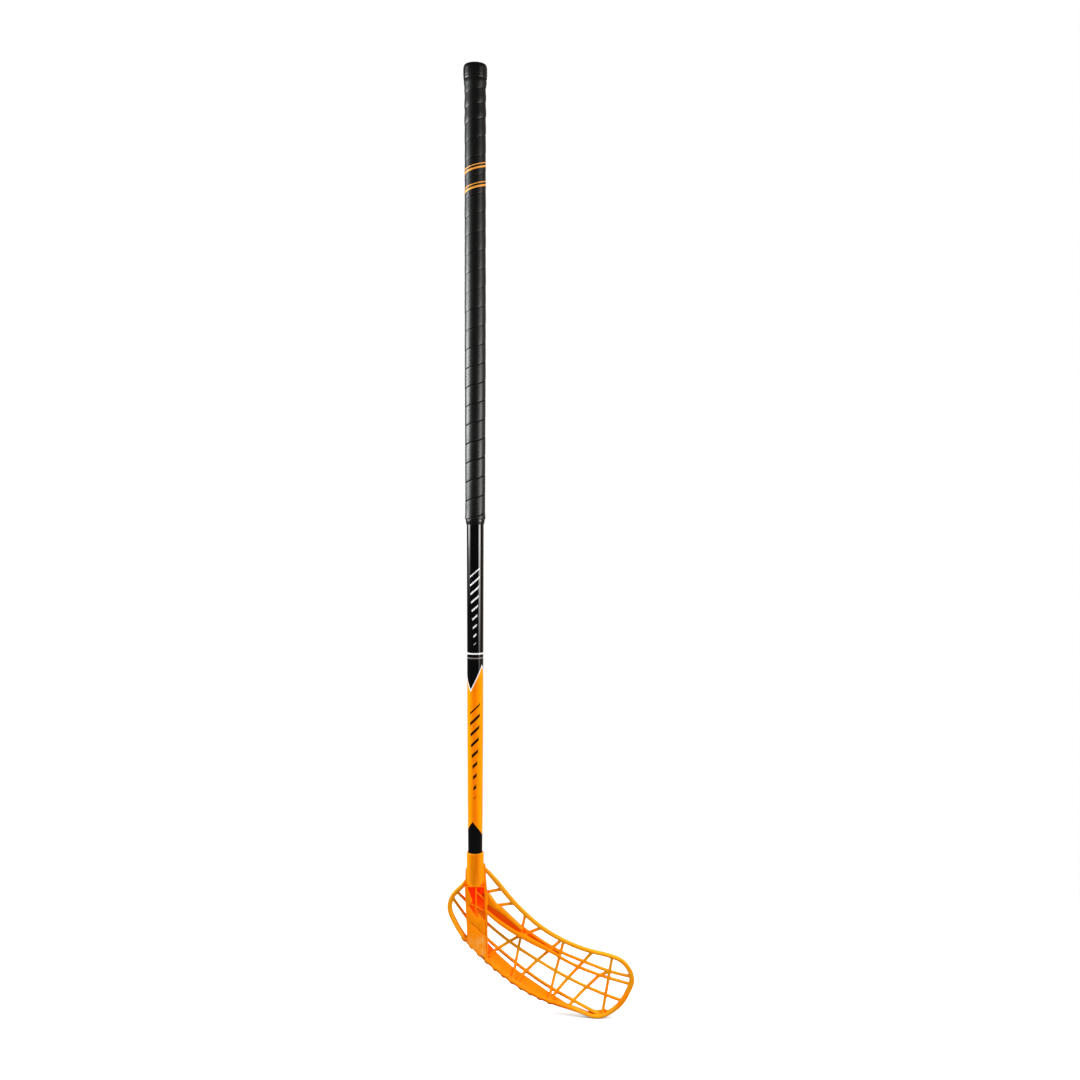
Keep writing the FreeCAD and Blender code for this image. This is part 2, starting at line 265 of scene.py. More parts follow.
def smoothLine(corners, rounds, steps=5):
    # an open line of (radius, height) corners, each rounded by its own radius
    line = [corners[0]]
    for before, here, after, size in zip(corners, corners[1:], corners[2:], rounds):
        a, b, c = Vector(before), Vector(here), Vector(after)
        start = b + (a - b).normalized() * size
        end = b + (c - b).normalized() * size
        for i in range(steps + 1):
            t = i / steps
            p = start * (1 - t) ** 2 + b * 2 * t * (1 - t) + end * t ** 2
            line.append((p.x, p.y))
    line.append(corners[-1])
    return line


def storeValues(piece, **layers):
    # one number for each point of the mesh, for its material to read
    for label, values in layers.items():
        layer = piece.data.attributes.new(label, "FLOAT", "POINT")
        layer.data.foreach_set("value", values)


# shaft: lacquered tube with plain bands and slanted bars

shaftLook = {
    "black": (0.0022, 0.0021, 0.0023, 1.0),
    "fibre": (0.0055, 0.0053, 0.0057, 1.0),
    "fibreScale": (1400.0, 1400.0, 60.0),
    "orange": (0.87, 0.180, 0.0, 1.0),
    "drifted": (0.91, 0.215, 0.0, 1.0),
    "sides": (0.90, 0.275, 0.0, 1.0),     # painted side light: the orange is lighter away from the front of the tube
    "sidesFrom": (0.0, 0.11),             # in turns
    "white": (0.85, 0.85, 0.86, 1.0),
    "grey": (0.19, 0.17, 0.16, 1.0),
    "soft": 0.0002,                       # half of the blur of a printed edge
    "whiteRing": (-0.5898, -0.5880),
    "greyRing": (-0.5951, -0.5937),
    # saw-tooth edges of the orange stretch
    "upperSaw": {"middle": -0.6200, "tooth": 0.0155, "shift": 0.35},
    "lowerSaw": {"middle": -0.8025, "tooth": 0.0085, "shift": 1.2},
    "teeth": 4,
    "pinstripe": 0.0024,
    "whiteBars": {"span": (-0.577, -0.489), "pitch": 0.0110, "share": 0.22, "reach": 0.10},
    "blackBars": {"span": (-0.765, -0.655), "pitch": 0.0138, "share": 0.30, "reach": 0.11},
    "barLean": -0.055,                    # rise in one turn
    "barTaper": 0.25,                     # the lowest bar's share of the reach
    "barSoft": 0.03,                      # share of a pitch
    "barEndSoft": 0.004,                  # in turns
}


def sawEdge(tree, height, turn, saw, teeth):
    # signed distance above a saw-tooth edge round the tube
    phase = calc(tree, "MULTIPLY_ADD", turn, float(teeth), saw["shift"])
    wave = calc(tree, "PINGPONG", phase, 1.0)
    edge = calc(tree, "MULTIPLY_ADD", wave, 2 * saw["tooth"], saw["middle"] - saw["tooth"])
    return calc(tree, "SUBTRACT", height, edge)


def slantedBars(tree, height, turn, bars, look):
    # bars that lean with the winding and get shorter down the span
    low, high = bars["span"]
    leaning = calc(tree, "MULTIPLY_ADD", turn, look["barLean"], height)
    row = calc(tree, "FRACT", calc(tree, "DIVIDE", leaning, bars["pitch"]))
    bar = bandMask(tree, row, 0.5 - bars["share"] / 2, 0.5 + bars["share"] / 2, look["barSoft"])
    inside = bandMask(tree, leaning, low, high, look["soft"])
    half = ramp(tree, leaning, low, high, look["barTaper"] * bars["reach"], bars["reach"])
    side = calc(tree, "SUBTRACT", half, calc(tree, "ABSOLUTE", turn))
    across = ramp(tree, side, -look["barEndSoft"], look["barEndSoft"])
    return times(tree, bar, inside, across)


def makeShaftLacquer():
    look = shaftLook
    soft = look["soft"]
    material, tree, shader = newMaterial("shaftLacquer", Specular_IOR_Level=0.5)
    point = objectPoint(tree)
    x, y, height = axes(tree, point)
    # turns round the tube, nought at the front
    turn = calc(tree, "DIVIDE", calc(tree, "ARCTAN2", x, calc(tree, "MULTIPLY", y, -1.0)), 2 * math.pi)
    above = sawEdge(tree, height, turn, look["upperSaw"], look["teeth"])
    below = sawEdge(tree, height, turn, look["lowerSaw"], look["teeth"])
    orange = times(tree, ramp(tree, above, -soft, soft, 1.0, 0.0), ramp(tree, below, -soft, soft))
    stripe = bandMask(tree, above, -soft, look["pinstripe"], 1.5 * soft)
    # faint fibres in the laminate under the lacquer
    fibre = noise(tree, stretched(tree, point, look["fibreScale"]), 1.0, 3.0)
    black = mixColour(tree, ramp(tree, fibre, 0.45, 0.8), look["black"], look["fibre"])
    drift = placeGroup(tree, mouldGrain)["Drift"]
    warm = mixColour(tree, ramp(tree, drift, 0.3, 0.8), look["orange"], look["drifted"])
    # painted side light: the orange turns lighter away from the front
    aside = ramp(tree, calc(tree, "ABSOLUTE", turn), *look["sidesFrom"])
    warm = mixColour(tree, aside, warm, look["sides"])
    colour = mixColour(tree, orange, black, warm)
    prints = [
        (stripe, "white"),
        (bandMask(tree, height, *look["whiteRing"], soft), "white"),
        (bandMask(tree, height, *look["greyRing"], soft), "grey"),
        (slantedBars(tree, height, turn, look["whiteBars"], look), "white"),
        (slantedBars(tree, height, turn, look["blackBars"], look), "black"),
    ]
    for mask, tone in prints:
        colour = mixColour(tree, mask, colour, look[tone])
    feed(tree, shader["Base Color"], colour)
    marks = placeGroup(tree, handlingMarks, **{"Base Roughness": 0.05, "Smudge": 0.03, "Rubs": 0.05})
    feed(tree, shader["Roughness"], marks["Roughness"])
    peel = placeGroup(tree, mouldGrain, **{"Grain Scale": 260.0})["Height"]
    bumpInto(tree, shader, peel, strength=0.05, distance=0.0002)
    return material


dress(nodes["shaft_tube"], makeShaftLacquer())
print("shaft lacquered")


# plug inside the tube

plugLook = {
    "dark": (0.035, 0.035, 0.036, 1.0),
    "light": (0.07, 0.07, 0.07, 1.0),
}


def makePlugPlastic():
    look = plugLook
    material, tree, shader = newMaterial("plugPlastic")
    grain = placeGroup(tree, mouldGrain, **{"Grain Scale": 700.0, "Drift Scale": 80.0})
    colour = mixColour(tree, grain["Drift"], look["dark"], look["light"])
    feed(tree, shader["Base Color"], colour)
    marks = placeGroup(tree, handlingMarks, **{"Base Roughness": 0.5})
    feed(tree, shader["Roughness"], marks["Roughness"])
    bumpInto(tree, shader, grain["Height"], strength=0.2, distance=0.0002)
    return material


dress(nodes["shaft_insert"], makePlugPlastic())


# grip: one cushioned strip wound up the shaft

gripWrap = {
    "inner": 0.0107,
    "lowOuter": 0.01225,
    "highOuter": 0.0129,
    "seated": 0.0126,          # inside the cap's skirt
    "fullFrom": -0.16,         # the tape lies thicker above this height
    "low": -0.425,
    "top": 0.130,
    "firstSeam": -0.46255,     # height of the strip's lower edge at the +X side, before the square cut
    "pitch": 0.0231,
    "topPitch": 0.0185,        # the last turns under the cap lie closer
    "tightFrom": 22.3,
    "tightBy": 22.9,
    "steps": 64,
    "gap": 0.00012,
    "leastWidth": 0.0006,
    "edgeOffsets": (0.0, 0.00012, 0.00035, 0.0008, 0.0016),
    "edgeDrops": (0.00085, 0.0005, 0.00025, 0.00008, 0.0),
    "edgeRoom": 2.4,           # a strip narrower than this many edges has them squeezed
    "middleShares": (0.2, 0.4, 0.6, 0.8),
    "unevenness": ((0.00006, 9.1, 0.0), (0.00004, 23.7, 1.3)),
    "lipLength": 0.007,
    "lipHeight": 0.00055,
    "topRidge": 0.0006,
    "softFrom": (-0.36, -0.14),    # above this the turns lap softly and the seams close
    "softLap": 0.28,           # share of the ridge below the tight turns
    "fullLapFrom": (21.4, 22.6),
    "lapSkew": 0.6,
    "lapEnd": (0.100, 0.106),
    "seamClosing": 0.85,
    "bulge": 0.0012,           # swollen by the cap that is pressed over it
    "bulgeFrom": 0.101,
    "bulgeFull": 0.111,
    "bulgeTo": 0.1139,
    "bulgeFall": 0.0010,
    "accentTurns": (18.45, 20.0),
    "accentSoft": 0.02,
    "thickLine": (0.34, 0.44),     # shares of the strip's width
    "thinLine": (0.55, 0.60),
    "lineSoft": 0.008,
    "dustShadeEdge": 0.035,
    "poreScale": 620.0,
    "skin": (0.0022, 0.0021, 0.0021, 1.0),
    "skinLight": (0.0046, 0.0043, 0.0041, 1.0),
    # dust and painted shade in the grooves
    "grooveDustShade": (0.0012, 0.0012, 0.0012, 1.0),
    "print": (0.95, 0.36, 0.03, 1.0),
}


def easeIn(value, low, high):
    t = max(0.0, min(1.0, (value - low) / (high - low)))
    return t * t * (3 - 2 * t)


def wrapRadius(height, turn, share, look):
    # outer radius before the edges are rounded: soft unevenness and laps,
    # a bulge at the top and a lip at the lower end
    full = easeIn(height, look["low"], look["fullFrom"])
    radius = look["lowOuter"] + (look["highOuter"] - look["lowOuter"]) * full
    radius += sum(size * math.sin(turn * rate + start) for size, rate, start in look["unevenness"])
    laps = look["softLap"] * easeIn(height, *look["softFrom"])
    laps += (1 - look["softLap"]) * easeIn(turn, *look["fullLapFrom"])
    laps *= 1 - easeIn(height, *look["lapEnd"])
    wave = 0.5 - 0.5 * math.cos(2 * math.pi * max(0.0, min(1.0, share)) ** look["lapSkew"])
    radius += laps * look["topRidge"] * wave
    radius += look["bulge"] * easeIn(height, look["bulgeFrom"], look["bulgeFull"])
    radius += (look["seated"] - radius) * easeIn(height, look["bulgeTo"] - look["bulgeFall"], look["bulgeTo"])
    lip = max(0.0, 1.0 - (height - look["low"]) / look["lipLength"])
    return radius + look["lipHeight"] * lip ** 2


def seamHeights(look):
    # height of the strip's lower edge at each step of the winding
    seam = [look["firstSeam"]]
    while seam[-1] < look["top"] + 2 * look["pitch"]:
        turn = (len(seam) - 1) / look["steps"]
        tight = max(0.0, min(1.0, (turn - look["tightFrom"]) / (look["tightBy"] - look["tightFrom"])))
        seam.append(seam[-1] + (look["pitch"] + (look["topPitch"] - look["pitch"]) * tight) / look["steps"])
    return seam


def stripStations(width, look):
    # (offset, drop) across the strip, with both edges rounded
    squeeze = min(1.0, width / (look["edgeRoom"] * look["edgeOffsets"][-1]))
    offsets = [d * squeeze for d in look["edgeOffsets"]]
    drops = [d * squeeze for d in look["edgeDrops"]]
    core = width - 2 * offsets[-1]
    stations = list(zip(offsets, drops))
    stations += [(offsets[-1] + core * s, 0.0) for s in look["middleShares"]]
    stations += [(width - d, drop) for d, drop in zip(offsets[::-1], drops[::-1])]
    return stations


def makeGripWrap():
    look = gripWrap
    steps = look["steps"]
    seam = seamHeights(look)
    points, across, along, loops = [], [], [], []
    for i in range(len(seam) - steps):
        low = max(seam[i] + look["gap"], look["low"])
        high = min(seam[i + steps] - look["gap"], look["top"])
        if high - low < look["leastWidth"]:
            continue
        turn = i / steps
        angle = 2 * math.pi * turn
        ring = []
        for offset, drop in stripStations(high - low, look):
            height = low + offset
            share = (height - seam[i]) / (seam[i + steps] - seam[i])
            groove = 1.0 - look["seamClosing"] * easeIn(height, *look["softFrom"])
            ring.append((wrapRadius(height, turn, share, look) - drop * groove, height))
        ring += [(look["inner"], height) for height in (high, (high + low) / 2, low)]
        loops.append(list(range(len(points), len(points) + len(ring))))
        for radius, height in ring:
            points.append((radius * math.cos(angle), radius * math.sin(angle), height))
            across.append((height - seam[i]) / (seam[i + steps] - seam[i]))
            along.append(turn)
    faces = [loops[0], loops[-1][::-1]]
    count = len(loops[0])
    for first, second in zip(loops, loops[1:]):
        for j in range(count):
            k = (j + 1) % count
            faces.append([first[j], second[j], second[k], first[k]])
    piece = newPiece("gripWrap", points, faces, "stick", "grip_tape")
    storeValues(piece, acrossStrip=across, alongStrip=along)
    return piece


def makeGripSkin():
    look = gripWrap
    material, tree, shader = newMaterial(
        "gripSkin", Specular_IOR_Level=0.5, Sheen_Weight=0.03, Sheen_Roughness=0.4)
    share = attributeValue(tree, "acrossStrip")
    turn = attributeValue(tree, "alongStrip")
    grain = placeGroup(tree, mouldGrain, **{"Grain Scale": 1300.0, "Drift Scale": 26.0})
    colour = mixColour(tree, grain["Drift"], look["skin"], look["skinLight"])
    # a thick and a thin printed line along the strip
    thick = bandMask(tree, share, *look["thickLine"], look["lineSoft"])
    thin = bandMask(tree, share, *look["thinLine"], look["lineSoft"])
    stretch = bandMask(tree, turn, *look["accentTurns"], look["accentSoft"])
    printed = times(tree, calc(tree, "ADD", thick, thin), stretch)
    colour = mixColour(tree, printed, colour, look["print"])
    # dust and painted shade in the groove between turns
    dustShadeWidth = look["dustShadeEdge"]
    offGroove = times(tree, ramp(tree, share, 0.0, dustShadeWidth), ramp(tree, share, 1.0 - dustShadeWidth, 1.0, 1.0, 0.0))
    colour = mixColour(tree, inverse(tree, offGroove), colour, look["grooveDustShade"])
    feed(tree, shader["Base Color"], colour)
    marks = placeGroup(tree, handlingMarks, **{"Base Roughness": 0.40, "Smudge": 0.06, "Rubs": 0.0})
    feed(tree, shader["Roughness"], marks["Roughness"])
    # pressed pores over a fine pebble
    pores = ramp(tree, cells(tree, objectPoint(tree), look["poreScale"]), 0.0, 0.45)
    height = calc(tree, "MULTIPLY_ADD", grain["Height"], 0.5, pores)
    bumpInto(tree, shader, height, strength=0.075, distance=0.00025)
    return material


gripPiece = makeGripWrap()
dress(gripPiece, makeGripSkin())
print("grip wound:", len(gripPiece.data.polygons), "faces")


# finishing band below the grip

bandLook = {
    "inner": gripWrap["inner"],
    "upper": 0.0117,
    "lower": 0.0110,
    "top": gripWrap["low"],
    "length": 0.0062,
    "straight": 0.0022,
    "draft": 0.0001,
    "rounds": (0.0003, 0.0009, 0.00025),
    "segments": 96,
    "lineScale": (60.0, 60.0, 2600.0),
    "black": (0.0035, 0.0035, 0.0038, 1.0),
    "blackLight": (0.008, 0.008, 0.0082, 1.0),
}


def makeEndBand():
    look = bandLook
    low = look["top"] - look["length"]
    corners = [
        (look["inner"], look["top"]),
        (look["upper"], look["top"]),
        (look["upper"] - look["draft"], look["top"] - look["straight"]),
        (look["lower"], low),
        (look["inner"], low),
    ]
    outline = smoothLine(corners, look["rounds"])
    points, faces = lathe(outline[::-1], look["segments"])
    return newPiece("endBand", points, faces, "stick", "grip_end_tape")


def makeBandTape():
    look = bandLook
    material, tree, shader = newMaterial("bandTape", Specular_IOR_Level=0.5)
    grain = placeGroup(tree, mouldGrain, **{"Grain Scale": 1500.0, "Drift Scale": 60.0})
    colour = mixColour(tree, grain["Drift"], look["black"], look["blackLight"])
    feed(tree, shader["Base Color"], colour)
    marks = placeGroup(tree, handlingMarks, **{"Base Roughness": 0.24, "Smudge": 0.08})
    feed(tree, shader["Roughness"], marks["Roughness"])
    # stretch lines round the tape
    lines = noise(tree, stretched(tree, objectPoint(tree), look["lineScale"]), 1.0, 2.0)
    bumpInto(tree, shader, lines, strength=0.12, distance=0.0002)
    return material


dress(makeEndBand(), makeBandTape())
print("end band made")


# rubber cap on the butt end

capLook = {
    "skirt": 0.01275,
    "rim": 0.0139,
    "outer": 0.0147,
    "top": 0.1325,
    "low": 0.1140,
    "seat": gripWrap["top"],
    "straight": 0.0060,
    "stem": 0.00895,
    "bore": 0.00675,
    "stemLow": 0.100,
    "crown": 0.0004,                  # how far the top is domed
    "crownShares": (0.0, 0.25, 0.5, 0.75, 0.88),
    "shoulderIn": 0.0001,             # the shoulder's corner, in from the rim and down from the top
    "shoulderDown": 0.0006,
    "shoulderRound": 0.0018,
    "shoulderSteps": 7,
    "sideFrom": 0.0016,               # the swelling side starts this far down
    "sideSteps": 8,
    "lowerSteps": 18,
    "taper": 0.6,                     # share of the swelling that the lower half gives back
    "groove": 0.00012,
    "grooveAt": 0.1178,
    "grooveWidth": 0.0006,
    "edgeFrom": 0.0008,
    "edge": ((0.00012, 0.0004), (0.0003, 0.00015), (0.0006, 0.0)),    # (inward, above the lower end)
    "mouth": 0.0003,
    "innerRounds": (0.0001, 0.0003, 0.0003, 0.0006, 0.0004, 0.0004),
    "segments": 112,
    "black": (0.0028, 0.0027, 0.0027, 1.0),
    "blackLight": (0.006, 0.0057, 0.0055, 1.0),
}


def makeButtCap():
    look = capLook
    top, low = look["top"], look["low"]
    curved = (top - low - look["straight"]) / 2
    swell = look["outer"] - look["rim"]
    # crowned top with a soft shoulder
    skin = [(share * look["rim"], top - look["crown"] * share ** 2) for share in look["crownShares"]]
    corner = (look["rim"] - look["shoulderIn"], top - look["shoulderDown"])
    corners = [skin[-1], corner, (look["outer"], top - curved)]
    skin += smoothLine(corners, (look["shoulderRound"],), look["shoulderSteps"])[1:-1]
    for i in range(1, look["sideSteps"] + 1):
        t = i / look["sideSteps"]
        height = top - look["sideFrom"] - (curved - look["sideFrom"]) * t
        skin.append((look["rim"] + swell * math.sin(t * math.pi / 2), height))
    # lower half: a shallow moulded groove, then the round edge
    waist = low + curved
    for i in range(1, look["lowerSteps"] + 1):
        height = waist + (low + look["edgeFrom"] - waist) * i / look["lowerSteps"]
        fall = ((waist - height) / curved) ** 2
        groove = look["groove"] * math.exp(-((height - look["grooveAt"]) / look["grooveWidth"]) ** 2)
        skin.append((look["outer"] - look["taper"] * swell * fall - groove, height))
    base = skin[-1][0]
    skin += [(base - inward, low + above) for inward, above in look["edge"]]
    lining = smoothLine([
        (look["skirt"] + look["mouth"], low),
        (look["skirt"], low + look["mouth"]),
        (look["skirt"], look["seat"]),
        (look["stem"], look["seat"]),
        (look["stem"], look["stemLow"]),
        (look["bore"], look["stemLow"]),
        (look["bore"], look["seat"]),
        (0.0, look["seat"]),
    ], look["innerRounds"], 3)
    points, faces = lathe(skin + lining, look["segments"])
    return newPiece("buttCap", points, [f[::-1] for f in faces], "end_cap", "end_cap")


def makeCapRubber():
    look = capLook
    material, tree, shader = newMaterial("capRubber", Specular_IOR_Level=0.55)
    grain = placeGroup(tree, mouldGrain, **{"Grain Scale": 1100.0, "Drift Scale": 45.0})
    colour = mixColour(tree, grain["Drift"], look["black"], look["blackLight"])
    feed(tree, shader["Base Color"], colour)
    marks = placeGroup(tree, handlingMarks, **{"Base Roughness": 0.27, "Smudge": 0.14, "Rubs": 0.1})
    feed(tree, shader["Roughness"], marks["Roughness"])
    bumpInto(tree, shader, grain["Height"], strength=0.05, distance=0.0002)
    return material


dress(makeButtCap(), makeCapRubber())
print("butt cap made")


# blade: one moulding, its edges softened as the mould leaves them

bladeLook = {
    "voxel": 0.00036,
    "smoothing": 2,
    "rounding": 40,            # further rounds of smoothing on the open lattice
    "swell": 0.00022,          # what that rounding takes off is given back
    "faces": 130000,
    "panel": (-0.0135, 0.0165),
    "panelSoft": 0.001,
    "rays": 24,
    "rayLift": 0.0003,
    "reach": 0.022,
    "creaseReach": 0.0028,
    "hemDrops": (0.0004, 0.0008, 0.0012),   # how far above a lower edge the painted shade reaches
    "bandHem": 3.0,            # and how many times further on the scalloped band
    "hemWay": (0.0, 1.0, -0.4),
    "hemReach": 0.06,
    "beamStart": -0.8875,      # the beam runs down from here at the shaft
    "beamFall": 0.66,
    "beamHalf": (0.010, 0.018),
    "lowBand": (-0.044, -0.038),   # the scalloped band, this far below the beam
    "lowBandEnd": (0.100, 0.125),
    "lit": (0.88, 0.222, 0.0, 1.0),
    "yellow": (0.72, 0.290, 0.006, 1.0),
    "thinYellow": 0.8,         # shares of the yellow in the thin walls and in the slow drift
    "driftYellow": 0.25,
    "band": (0.86, 0.205, 0.0, 1.0),
    "sleeve": (0.66, 0.150, 0.0, 1.0),
    "sleeveSkin": (0.0110, 0.0114),
    "sleeveFrom": (-0.8712, -0.8690),
    "sleeveYellow": 0.55,
    "sleeveShadedMiddle": (0.002, 0.0085),
    "sleeveShadeAtFlanks": 0.15,        # share of the tube's shade and the painted middle shade that is left at the flanks
    "streakScale": (520.0, 520.0, 18.0),
    # pale wear that is partly a painted highlight
    "rubbedSheen": (0.80, 0.38, 0.075, 1.0),
    "rubbedAcross": (-0.009, 0.013),
    "rubbedUp": (-0.957, -0.934),
    "rubbedSoft": (0.005, 0.007),
    "rubScale": (230.0, 230.0, 110.0),
    "pocket": (0.96, 0.042, 0.0, 1.0),
    "pocketFrom": (-0.904, -0.886),
    "channel": (0.84, 0.095, 0.0, 1.0),
    "hollowFrom": (0.22, 0.52),
    "narrowUp": (-0.003, 0.007),   # the channel's second stretch, measured from the beam
    "narrowAcross": (0.056, 0.104),
    "narrowSoft": (0.002, 0.006),
    "narrowShadeBoost": 0.16,       # painted shade: narrow places are a little redder than their recess says
    # painted shade: the low band is a little redder than its recess says
    "bandShadeBoost": 0.08,
    # painted shade in creases and corners
    "crease": (0.30, 0.045, 0.0, 1.0),
    "creaseFrom": (0.28, 0.62),
    # painted shade on the sides and undersides of the ribs
    "shaded": (0.36, 0.105, 0.002, 1.0),
    "sideShadeAmount": 0.85,
    "sideShadeFrom": (0.0125, 0.0145),  # clear of the sleeve
    # painted shade along the lower edges, darker on the scalloped band
    "hem": (0.40, 0.115, 0.0, 1.0),
    "hemShadeAmount": 0.35,
    "bandHemColour": (0.30, 0.040, 0.0, 1.0),
    "bandHemShadeAmount": 0.85,
}


def evaluatedMesh(piece):
    depsgraph = bpy.context.evaluated_depsgraph_get()
    return bpy.data.meshes.new_from_object(piece.evaluated_get(depsgraph))


def withModifier(piece, kind, **values):
    modifier = piece.modifiers.new(kind.lower(), kind)
    for name, value in values.items():
        setattr(modifier, name, value)
    mesh = evaluatedMesh(piece)
    piece.modifiers.clear()
    piece.data = mesh


def surfaceTree(mesh):
    return BVHTree.FromPolygons([v.co for v in mesh.vertices], [p.vertices for p in mesh.polygons])


def recessShares(mesh, look):
    # share of the sky that each point of the surface can't see within reach, and close by
    tree = surfaceTree(mesh)
    rays, reach = look["rays"], look["reach"]
    golden = math.pi * (3 - math.sqrt(5))
    spread = []
    for i in range(rays):
        lift = math.sqrt(1 - (i + 0.5) / rays)
        flat = math.sqrt(1 - lift * lift)
        spread.append((flat * math.cos(i * golden), flat * math.sin(i * golden), lift))
    shares, creases = [], []
    for vertex in mesh.vertices:
        normal = vertex.normal
        side = normal.orthogonal().normalized()
        other = normal.cross(side)
        start = vertex.co + normal * look["rayLift"]
        blocked = close = 0.0
        for a, b, c in spread:
            hit = tree.ray_cast(start, side * a + other * b + normal * c, reach)
            if hit[0] is not None:
                blocked += 1.0 - 0.5 * hit[3] / reach
                close += hit[3] < look["creaseReach"]
        shares.append(blocked / rays)
        creases.append(close / rays)
    return shares, creases


def hemShares(mesh, look):
    # how close each point is to a lower edge of the blade, looked at from above on the playing side
    tree = surfaceTree(mesh)
    through = Vector(look["hemWay"]).normalized()
    reach = look["hemReach"]
    shares = []
    for x, y, z in (v.co for v in mesh.vertices):
        overBeam = z + look["beamFall"] * x - look["beamStart"]
        inBand = overBeam < look["lowBand"][1] and look["panel"][0] < x < look["lowBandEnd"][1]
        far = look["bandHem"] if inBand else 1.0
        starts = [Vector((x, y, z - drop * far)) - through * reach for drop in look["hemDrops"]]
        bare = sum(tree.ray_cast(start, through, 2 * reach)[0] is None for start in starts)
        shares.append(bare / len(look["hemDrops"]))
    return shares


def makeBlade():
    look = bladeLook
    mesh = nodes["blade"].data.copy()
    work = bmesh.new()
    work.from_mesh(mesh)
    bmesh.ops.remove_doubles(work, verts=work.verts, dist=1e-6)
    work.to_mesh(mesh)
    work.free()
    piece = bpy.data.objects.new("bladeMoulding", mesh)
    scene.collection.objects.link(piece)
    withModifier(piece, "REMESH", mode="VOXEL", voxel_size=look["voxel"])
    print("  blade voxels:", len(piece.data.polygons))
    withModifier(piece, "SMOOTH", factor=0.5, iterations=look["smoothing"])
    # the ribs and the rim are rounder than the heel panel
    left, right = look["panel"]
    lattice = piece.vertex_groups.new(name="lattice")
    lattice.add([v.index for v in piece.data.vertices if not left < v.co.x < right], 1.0, "REPLACE")
    withModifier(piece, "SMOOTH", factor=0.5, iterations=look["rounding"], vertex_group="lattice")
    withModifier(piece, "DISPLACE", strength=look["swell"], mid_level=0.0, vertex_group="lattice")
    ratio = min(1.0, look["faces"] / (2 * len(piece.data.polygons)))
    withModifier(piece, "DECIMATE", ratio=ratio)
    piece.data.name = "bladeMoulding"
    piece.data.shade_smooth()
    shares, creases = recessShares(piece.data, look)
    storeValues(piece, recess=shares, crease=creases, hem=hemShares(piece.data, look))
    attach(piece, "stick")
    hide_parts("blade")
    return piece


def bladePlace(tree, point, look):
    # where a point lies on the blade: its coordinates, and masks from nought to one
    x, y, height = axes(tree, point)
    left, right = look["panel"]
    soft = look["panelSoft"]
    overBeam = calc(tree, "MULTIPLY_ADD", x, look["beamFall"], height)
    overBeam = calc(tree, "SUBTRACT", overBeam, look["beamStart"])
    offBeam = ramp(tree, calc(tree, "ABSOLUTE", overBeam), *look["beamHalf"])
    offBand = ramp(tree, overBeam, *look["lowBand"])
    offBand = calc(tree, "MAXIMUM", offBand, ramp(tree, x, *look["lowBandEnd"]))
    inBand = times(tree, inverse(tree, offBand), ramp(tree, x, right - soft, right + soft))
    # the ribs and the rim are thin; the panel, the beam and the low band are not
    onPanel = bandMask(tree, x, left, right, soft)
    thin = times(tree, offBeam, offBand, inverse(tree, onPanel))
    thin = calc(tree, "MAXIMUM", thin, ramp(tree, x, left + 2 * soft, left - soft))
    radius = calc(tree, "SQRT", calc(tree, "ADD", times(tree, x, x), times(tree, y, y)))
    return {"x": x, "height": height, "radius": radius, "overBeam": overBeam,
            "offBand": offBand, "inBand": inBand, "thin": thin}


def sleeveTubeAndShade(tree, colour, point, place, look):
    # the dark tube shows faintly through the sleeve; the sleeve is also painted yellower, and its middle
    # painted darker in streaks as painted shade, with the flanks left lighter as painted side light
    skin = ramp(tree, place["radius"], *look["sleeveSkin"], 1.0, 0.0)
    sleeve = times(tree, skin, ramp(tree, place["height"], *look["sleeveFrom"]))
    colour = mixColour(tree, times(tree, sleeve, look["sleeveYellow"]), colour, look["yellow"])
    streak = noise(tree, stretched(tree, point, look["streakScale"]), 1.0, 2.0)
    aside = calc(tree, "ABSOLUTE", place["x"])
    # painted shade: darker in the middle of the sleeve, lighter at its flanks
    middle = ramp(tree, aside, *look["sleeveShadedMiddle"], 1.0, look["sleeveShadeAtFlanks"])
    under = times(tree, middle, ramp(tree, streak, 0.3, 0.65, 0.4, 1.0), sleeve)
    return mixColour(tree, under, colour, look["sleeve"])


def rubsAndPaintedSheen(tree, colour, point, place, normal, look):
    # the front of the heel panel is worn pale by the floor, and the pale patch is partly a painted highlight
    softAcross, softUp = look["rubbedSoft"]
    across = bandMask(tree, place["x"], *look["rubbedAcross"], softAcross)
    up = bandMask(tree, place["height"], *look["rubbedUp"], softUp)
    rubs = noise(tree, stretched(tree, point, look["rubScale"]), 1.0, 4.0)
    front = ramp(tree, normal["Y"], -0.3, 0.1, 1.0, 0.0)
    rubbedSheen = times(tree, ramp(tree, rubs, 0.3, 0.75), front, times(tree, across, up))
    return mixColour(tree, rubbedSheen, colour, look["rubbedSheen"])


def bladeHollows(tree, place, normal, look):
    # multiple scatter turns the hollows red, most in the pocket under the sleeve
    softUp, softAcross = look["narrowSoft"]
    up = bandMask(tree, place["overBeam"], *look["narrowUp"], softUp)
    narrow = times(tree, up, bandMask(tree, place["x"], *look["narrowAcross"], softAcross))
    # painted shade on the low band and on the channel's narrow stretch
    near = calc(tree, "MULTIPLY_ADD", place["inBand"], look["bandShadeBoost"], attributeValue(tree, "recess"))
    near = calc(tree, "MULTIPLY_ADD", narrow, look["narrowShadeBoost"], near)
    front = ramp(tree, normal["Y"], -0.25, 0.25, 1.0, 0.0)
    deep = times(tree, ramp(tree, near, *look["hollowFrom"]), front)
    inPocket = ramp(tree, place["height"], *look["pocketFrom"])
    return deep, mixColour(tree, inPocket, look["channel"], look["pocket"])


